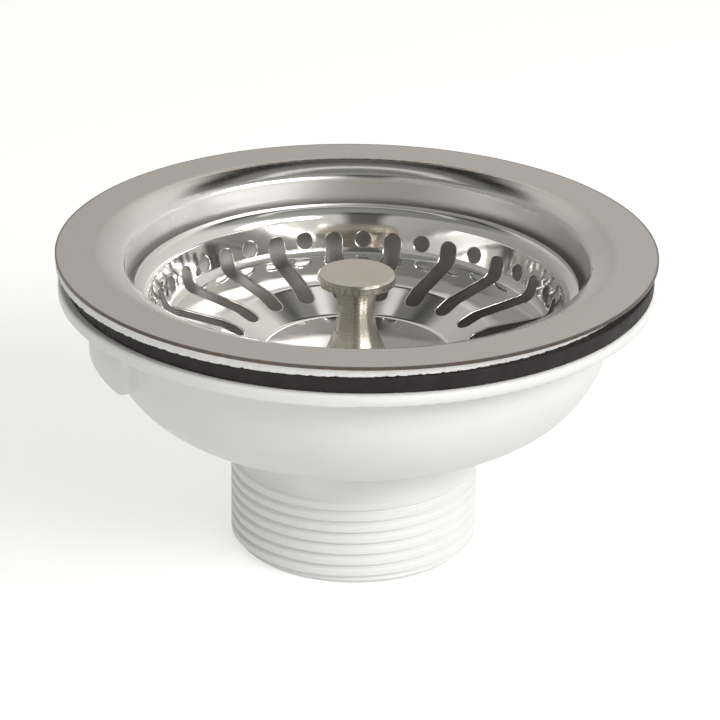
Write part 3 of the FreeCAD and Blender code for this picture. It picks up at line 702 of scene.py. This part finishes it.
def hole_outline(spread):
    """Points round the hole, pushed outwards by a spread."""
    middle = basket_section.length_at_height(BASKET_TOP - HOLE_DROP)
    radius = basket_section.at(middle)[0].x
    points = []
    for step in range(HOLE_STEPS):
        angle = math.tau * step / HOLE_STEPS
        points.append((middle + (HOLE_RADIUS + spread) * math.cos(angle),
                       SECTOR / 2 + (HOLE_RADIUS + spread) * math.sin(angle) / radius))
    return points


OPENINGS = (slot_outline, hole_outline)
print("points round a slot and a hole:", [len(outline(0.0)) for outline in OPENINGS])

# %% [markdown]
# One sector of the basket holds one slot and one hole. Cutting them with booleans leaves sharp
# edges, and on polished steel it is the rolled edge of a punched hole that catches the light. So
# the flat sector is divided into triangles round both outlines, and the edges are added later.

# %% One flat sector
EDGE_ROUND = 0.2 * MM
EDGE_BREAK, EDGE_CLEAR = EDGE_ROUND * 0.3, EDGE_ROUND * 1.6
SECTOR_START = -SECTOR / 3
SECTOR_COLUMNS = 14
SHEET_STEP, BEND_STEP = 0.8 * MM, 0.3 * MM
FLAT_SCALE, FLAT_PRECISION = 30 * MM, 1e-9


def inside(point, outline):
    """Whether a point lies inside a closed outline."""
    odd = False
    for first, last in zip(outline, outline[1:] + outline[:1]):
        if (first[1] > point[1]) != (last[1] > point[1]):
            share = (point[1] - first[1]) / (last[1] - first[1])
            odd ^= point[0] < first[0] + share * (last[0] - first[0])
    return odd


def in_any(point, outlines):
    return any(inside(point, outline) for outline in outlines)


def flat_sector(outlines):
    """Places and triangles of the sheet round two outlines, and where the outlines' points went."""
    keep_out = [outline(EDGE_CLEAR) for outline in OPENINGS]
    columns = [SECTOR_START + SECTOR * step / SECTOR_COLUMNS for step in range(SECTOR_COLUMNS + 1)]
    seams = (columns[0], columns[-1])
    places, edges = [], []
    for outline in outlines:
        first, count = len(places), len(outline)
        edges += [(first + i, first + (i + 1) % count) for i in range(count)]
        places += outline
    for length in basket_section.stations(SHEET_STEP, BEND_STEP):
        places += [(length, angle) for angle in columns
                   if angle in seams or not in_any((length, angle), keep_out)]
    flat = [Vector((length, angle * FLAT_SCALE)) for length, angle in places]
    _, _, triangles, origin, _, _ = delaunay_2d_cdt(flat, edges, [], 0, FLAT_PRECISION)
    places = [places[source[0]] for source in origin]
    middles = [[sum(places[i][axis] for i in corner) / 3 for axis in (0, 1)] for corner in triangles]
    triangles = [corner for corner, middle in zip(triangles, middles) if not in_any(middle, outlines)]
    return places, triangles, {source[0]: i for i, source in enumerate(origin)}


# %% [markdown]
# The flat triangles are then pressed. Each point goes to its place on the section, once for the
# upper face and once for the lower one, and along the openings two more rings of points make the
# rolled edge and the cut through the sheet.

# %% The sector pressed into shape
TOP_FACE, LOWER_FACE, CUT_EDGE = range(3)


def on_sheet(place, depth):
    """The point of the sheet at (length, angle), a depth below its upper face."""
    point, normal = basket_section.at(place[0])
    radius = point.x - normal.x * depth
    return Vector((radius * math.cos(place[1]), radius * math.sin(place[1]), point.y - normal.y * depth))


def pressed_sector():
    """Points and faces of one sector, and the side of the sheet that each face lies on."""
    rings = [[outline(spread) for spread in (EDGE_ROUND, EDGE_BREAK, 0.0)] for outline in OPENINGS]
    places, triangles, index = flat_sector([outline[0] for outline in rings])
    half = len(places)
    below = list(places)
    uppers, passed = [], 0
    for outline in rings:
        uppers.append([index[passed + i] for i in range(len(outline[0]))])
        passed += len(outline[0])
        for i, place in zip(uppers[-1], outline[2]):
            below[i] = place
    vertices = [on_sheet(place, 0) for place in places] + [on_sheet(place, BASKET_SHEET) for place in below]
    faces = [tuple(reversed(corner)) for corner in triangles]
    faces += [tuple(i + half for i in corner) for corner in triangles]
    sides = [TOP_FACE] * len(triangles) + [LOWER_FACE] * len(triangles)
    for upper, outline in zip(uppers, rings):
        loops, count = [upper], len(upper)
        for ring, depth in ((outline[1], EDGE_BREAK), (outline[2], EDGE_ROUND)):
            loops.append(list(range(len(vertices), len(vertices) + count)))
            vertices += [on_sheet(place, depth) for place in ring]
        loops.append([i + half for i in upper])
        for above, under in zip(loops, loops[1:]):
            for i in range(count):
                after = (i + 1) % count
                faces.append((above[i], above[after], under[after], under[i]))
                sides.append(CUT_EDGE)
    return vertices, faces, sides


def sector_mesh():
    vertices, faces, sides = pressed_sector()
    mesh = bpy.data.meshes.new("basket_sector")
    mesh.from_pydata(vertices, [], faces)
    mark = mesh.attributes.new("side", "INT", "FACE")
    mark.data.foreach_set("value", sides)
    print(f"sector: {len(faces)} faces")
    return mesh


# %% [markdown]
# A mirror shows every facet. So both faces of the sheet get the exact direction of its section,
# where a mesh by itself would only have the mean of the triangles round each point. The edge of
# the lip and the passage of the stud are still open and are bridged first.

# %% Edges and directions of the sheet
def close_sheet_edges(mesh):
    """Joins the upper and the lower face along the lip's edge and round the stud."""
    work = bmesh.new()
    work.from_mesh(mesh)
    mark = work.faces.layers.int["side"]
    for face in bridge_open_rings(work, lambda place: place.xy.length > DISH_RADIUS):
        face[mark] = CUT_EDGE
    work.to_mesh(mesh)
    work.free()


def set_sheet_normals(mesh):
    """Gives both faces of the sheet the direction of its section, and leaves the cut edges alone."""
    sides = [mark.value for mark in mesh.attributes["side"].data]
    normals, cache = [], {}
    for face in mesh.polygons:
        side = sides[face.index]
        for number in face.vertices:
            normals.append(Vector() if side == CUT_EDGE else sheet_normal(mesh, number, side, cache))
    mesh.normals_split_custom_set(normals)


def sheet_normal(mesh, number, side, cache):
    if (number, side) not in cache:
        place = mesh.vertices[number].co
        flat = place.xy.length
        length = basket_section.length_at(flat)
        if side == LOWER_FACE:
            for _ in range(4):
                length = basket_section.length_at(flat + basket_section.at(length)[1].x * BASKET_SHEET)
        across, up = basket_section.at(length)[1]
        normal = Vector((across * place.x / flat, across * place.y / flat, up))
        cache[number, side] = normal if side == TOP_FACE else -normal
    return cache[number, side]


# %% [markdown]
# The press repeats the sector twenty times round the axis, and so does a short tree: it puts the
# sector on twenty points, each turned a step further, and welds the seams.

# %% The whole basket
SECTOR_WELD = 0.004 * MM


def strainer(material):
    rule = Rule("basket_sectors")
    count = rule.number("Sectors", SLOT_COUNT, "NodeSocketInt")
    phase = rule.number("First slot", SLOT_PHASE)
    points = rule.add("GeometryNodePoints", {"Count": count})
    index = rule.add("GeometryNodeInputIndex")
    steps = rule.math("MULTIPLY", index.outputs[0], rule.math("DIVIDE", math.tau, count))
    spin = rule.add("ShaderNodeCombineXYZ", {"Z": rule.math("ADD", phase, steps)})
    ring = rule.add("GeometryNodeInstanceOnPoints", {"Points": points.outputs[0],
                                                     "Instance": rule.source.outputs["Geometry"],
                                                     "Rotation": spin.outputs[0]})
    whole = rule.add("GeometryNodeRealizeInstances", {"Geometry": ring.outputs[0]})
    weld = rule.add("GeometryNodeMergeByDistance", {"Geometry": whole.outputs[0], "Distance": SECTOR_WELD})
    shade = rule.add("GeometryNodeSetShadeSmooth", {"Geometry": weld.outputs[0]})
    basket = rule.bake("punched_basket", material, shade.outputs[0], sector_mesh())
    close_sheet_edges(basket.data)
    set_sheet_normals(basket.data)
    return basket


basket = strainer(FINISHES["polished_steel"])
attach(basket, "basket")
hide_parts("strainer_basket")

# %% [markdown]
# The knob is turned from bar on a lathe: a disc with a chamfer, a waist that is one hollow curve,
# and a foot. Its solid shows that curve as a few flat bands, which a shiny surface gives away. The
# same section, walked in fine steps and turned round the axis, mirrors as smoothly as the real one.

# %% The turned knob
KNOB_FOOT, KNOB_TOP = (corner.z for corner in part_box("knob"))
KNOB_RADIUS = reach("knob")
KNOB_DISC, KNOB_CHAMFER, KNOB_EDGE = 2.0 * MM, 0.4 * MM, 0.1 * MM
KNOB_NECK_RADIUS, KNOB_FOOT_RADIUS, KNOB_FOOT_EDGE = 4.6 * MM, 5.75 * MM, 0.6 * MM
WAIST_RADIUS, WAIST_HEIGHT, WAIST_CURVE = 2.65 * MM, 8.2 * MM, 14.5 * MM
BORE_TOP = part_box("stem")[1].z + 0.3 * MM
POLE = 0.05 * MM
knob_section = Section([
    (POLE, BORE_TOP),
    (STUD_PASSAGE, BORE_TOP, KNOB_EDGE),
    (STUD_PASSAGE, KNOB_FOOT, KNOB_EDGE),
    (KNOB_FOOT_RADIUS, KNOB_FOOT, KNOB_EDGE),
    (KNOB_FOOT_RADIUS, KNOB_FOOT + KNOB_FOOT_EDGE, KNOB_EDGE),
    (WAIST_RADIUS, KNOB_FOOT + WAIST_HEIGHT, WAIST_CURVE),
    (KNOB_NECK_RADIUS, KNOB_TOP - KNOB_DISC, KNOB_EDGE),
    (KNOB_RADIUS, KNOB_TOP - KNOB_DISC, KNOB_CHAMFER),
    (KNOB_RADIUS, KNOB_TOP - KNOB_CHAMFER, KNOB_EDGE),
    (KNOB_RADIUS - KNOB_CHAMFER, KNOB_TOP, KNOB_EDGE),
    (POLE, KNOB_TOP),
])


def turn_on_lathe(label, section, material, around=128):
    """A closed solid of revolution that mirrors as its section says."""
    places, normals, faces = [], [], []
    lengths = section.stations(2.0 * MM, 0.12 * MM)
    for length in lengths:
        point, normal = section.at(length)
        for step in range(around):
            across = Vector((math.cos(math.tau * step / around), math.sin(math.tau * step / around), 0))
            places.append(across * point.x + Vector((0, 0, point.y)))
            normals.append(across * normal.x + Vector((0, 0, normal.y)))
    for ring in range(len(lengths) - 1):
        for step in range(around):
            here, following = ring * around + step, ring * around + (step + 1) % around
            faces.append((here, following, following + around, here + around))
    faces.append(range(around - 1, -1, -1))
    faces.append(range(len(places) - around, len(places)))
    mesh = bpy.data.meshes.new(label)
    mesh.from_pydata(places, [], faces)
    mesh.normals_split_custom_set_from_vertices(normals)
    mesh.materials.append(material)
    return show(label, mesh)


turned_knob = turn_on_lathe("turned_knob", knob_section, FINISHES["nickel_plate"])
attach(turned_knob, "basket")
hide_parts("knob")

# %% [markdown]
# The camera stands in front of the waste and looks down on it. It was found by fitting the
# ellipses of the flange, the rim and the outlet to one pinhole: how flat they are gives the
# height of the view, and how they shrink downwards gives the distance.

# %% Camera
VIEW_HEIGHT = math.radians(21.63)
VIEW_ROLL = math.radians(0.82)
VIEW_DISTANCE = 0.620
PICTURE_SIZE = 720
FOCAL_PIXELS = 3274
FLANGE_CENTRE_PIXEL = Vector((357.1, 246.3))
SENSOR = 36.0


def add_camera():
    back = Vector((0, math.cos(VIEW_HEIGHT), -math.sin(VIEW_HEIGHT)))
    right = Vector((1, 0, 0))
    up = right.cross(back)
    rolled_right = right * math.cos(VIEW_ROLL) + up * math.sin(VIEW_ROLL)
    rolled_up = up * math.cos(VIEW_ROLL) - right * math.sin(VIEW_ROLL)
    miss = Vector((PICTURE_SIZE / 2, PICTURE_SIZE / 2)) - FLANGE_CENTRE_PIXEL
    forward = (back * FOCAL_PIXELS + rolled_right * miss.x - rolled_up * miss.y).normalized()
    side = forward.cross(rolled_up).normalized()
    data = bpy.data.cameras.new("camera")
    data.sensor_width = SENSOR
    data.lens = SENSOR * FOCAL_PIXELS / PICTURE_SIZE
    data.clip_start = 0.05
    camera = bpy.data.objects.new("camera", data)
    turn = Matrix((side, side.cross(forward), -forward)).transposed().to_4x4()
    camera.matrix_world = Matrix.Translation(Vector((0, 0, FLANGE_TOP)) - back * VIEW_DISTANCE) @ turn
    scene.collection.objects.link(camera)
    scene.camera = camera
    return camera


print("camera at", [round(number, 3) for number in add_camera().location])

# %% [markdown]
# The waste stands on a white table, which takes its soft shadow. A table that is lit enough to look
# white would throw too much light up at the waste. So its paint is a little grey, and it glows
# only where the camera or a reflection looks at it.

# %% Table
TABLE_HALF = 6.0
TABLE_GREY, TABLE_GLOW = (0.7, 0.7, 0.7), 0.55
WHITE = (1, 1, 1, 1)


def add_table():
    mesh = bpy.data.meshes.new("table")
    corners = [(x * TABLE_HALF, y * TABLE_HALF, 0) for x, y in ((-1, -1), (1, -1), (1, 1), (-1, 1))]
    mesh.from_pydata(corners, [], [range(len(corners))])
    table = bpy.data.objects.new("table", mesh)
    scene.collection.objects.link(table)
    finish = Finish("table_white")
    finish.set("Base Color", (*TABLE_GREY, 1))
    finish.set("Roughness", 1.0)
    finish.set("Emission Color", WHITE)
    path = finish.add("ShaderNodeLightPath")
    seen = finish.math("MAXIMUM", path.outputs["Is Camera Ray"], path.outputs["Is Glossy Ray"])
    seen = finish.math("MAXIMUM", seen, path.outputs["Is Transmission Ray"])
    finish.set("Emission Strength", finish.math("MULTIPLY", seen, TABLE_GLOW))
    mesh.materials.append(finish.material)
    return table


add_table()
print(f"table: {2 * TABLE_HALF:.0f} m wide")

# %% [markdown]
# Polished metal shows the room more than itself. A panorama could be wrapped round the scene, but
# a few bands of grey, chosen by direction, do the same without a file: pale walls, a grey ceiling,
# a dark gap with one bright strip behind the waste, and a shadow in front, where the camera is.

# %% The room
ROOM_WALL, ROOM_PALE, ROOM_CEILING = (0.66, 0.65, 0.62), (0.88, 0.86, 0.81), (0.33, 0.335, 0.315)
ROOM_GAP, ROOM_GREY, ROOM_STRIP = (0.03, 0.03, 0.032), (0.24, 0.24, 0.235), (1.0, 0.98, 0.95)
FRONT_SHADES = ((0.70, ROOM_WALL), (0.82, ROOM_CEILING))
BACK_SHADES = (
    (0.45, ROOM_WALL), (0.60, ROOM_PALE), (0.70, ROOM_PALE), (0.77, ROOM_GAP), (0.82, ROOM_GAP),
    (0.855, ROOM_GREY), (0.895, ROOM_GREY), (0.905, ROOM_STRIP), (0.92, ROOM_STRIP), (0.935, ROOM_GREY),
)
BACK_FROM, BACK_TO, BACK_SIDES = 0.0, 0.15, (0.22, 0.5)
DIM_SIDE, BRIGHT_SIDE = 0.52, 1.2
SHADOW_FROM, SHADOW_TO, SHADOW_SIDES = -0.3, -0.6, (0.10, 0.24)
SHADOW_MIDDLE, SHADOW_LIGHT = -0.06, 0.22


class Room(Graph):
    """A background that depends on the direction only."""

    def __init__(self, name):
        self.world = bpy.data.worlds.new(name)
        self.world.use_nodes = True
        super().__init__(self.world.node_tree)
        direction = self.add("ShaderNodeTexCoord").outputs["Generated"]
        self.across, self.back, self.up = self.add("ShaderNodeSeparateXYZ", {0: direction}).outputs

    def stripe(self, middle, inner, outer):
        """One in an upright stripe of the room and nothing beside it, with soft edges."""
        right = self.change(self.across, middle + inner, middle + outer, 1.0, 0.0)
        left = self.change(self.across, middle - outer, middle - inner)
        return self.math("MULTIPLY", left, right)

    def shadow(self):
        """The share of light that is left in front of the waste."""
        front = self.change(self.back, SHADOW_TO, SHADOW_FROM, 1.0 - SHADOW_LIGHT, 0.0)
        taken = self.math("MULTIPLY", self.stripe(SHADOW_MIDDLE, *SHADOW_SIDES), front)
        return self.math("SUBTRACT", 1.0, taken)

    def light(self):
        behind = self.change(self.back, BACK_FROM, BACK_TO)
        behind = self.math("MULTIPLY", behind, self.stripe(0.0, *BACK_SIDES))
        shade = self.blend(behind, self.ramp(self.up, FRONT_SHADES), self.ramp(self.up, BACK_SHADES))
        side = self.change(self.across, -1.0, 1.0, DIM_SIDE, BRIGHT_SIDE)
        background = self.tree.nodes["Background"]
        self.feed(shade, background.inputs["Color"])
        self.feed(self.math("MULTIPLY", side, self.shadow()), background.inputs["Strength"])
        return self.world


scene.world = Room("room").light()
print("room:", len(BACK_SHADES), "shades behind,", len(FRONT_SHADES), "in front")

# %% [markdown]
# Two broad lamps on the right give the light and its soft shadow. A long, low one on the left keeps
# the underside of the moulded bowl from going dark. All have round outlines, so that no corner of
# a lamp stands out in the metal.

# %% Lamps
def add_lamp(name, place, width, height, power):
    data = bpy.data.lights.new(name, "AREA")
    data.shape = "ELLIPSE"
    data.size, data.size_y = width, height
    data.energy = power
    lamp = bpy.data.objects.new(name, data)
    aim = Vector((0, 0, FLANGE_TOP / 2)) - Vector(place)
    lamp.rotation_euler = aim.to_track_quat("-Z", "Y").to_euler()
    lamp.location = place
    scene.collection.objects.link(lamp)
    print(f"{name}: {power} W")


add_lamp("key_lamp", place=(0.85, -0.45, 0.60), width=0.5, height=0.5, power=4.1)
add_lamp("fill_lamp", place=(-0.60, -0.80, 0.045), width=0.8, height=0.08, power=1.9)
add_lamp("top_lamp", place=(0.50, -0.70, 0.62), width=0.4, height=0.4, power=3.0)
scene.view_settings.view_transform = "Standard"
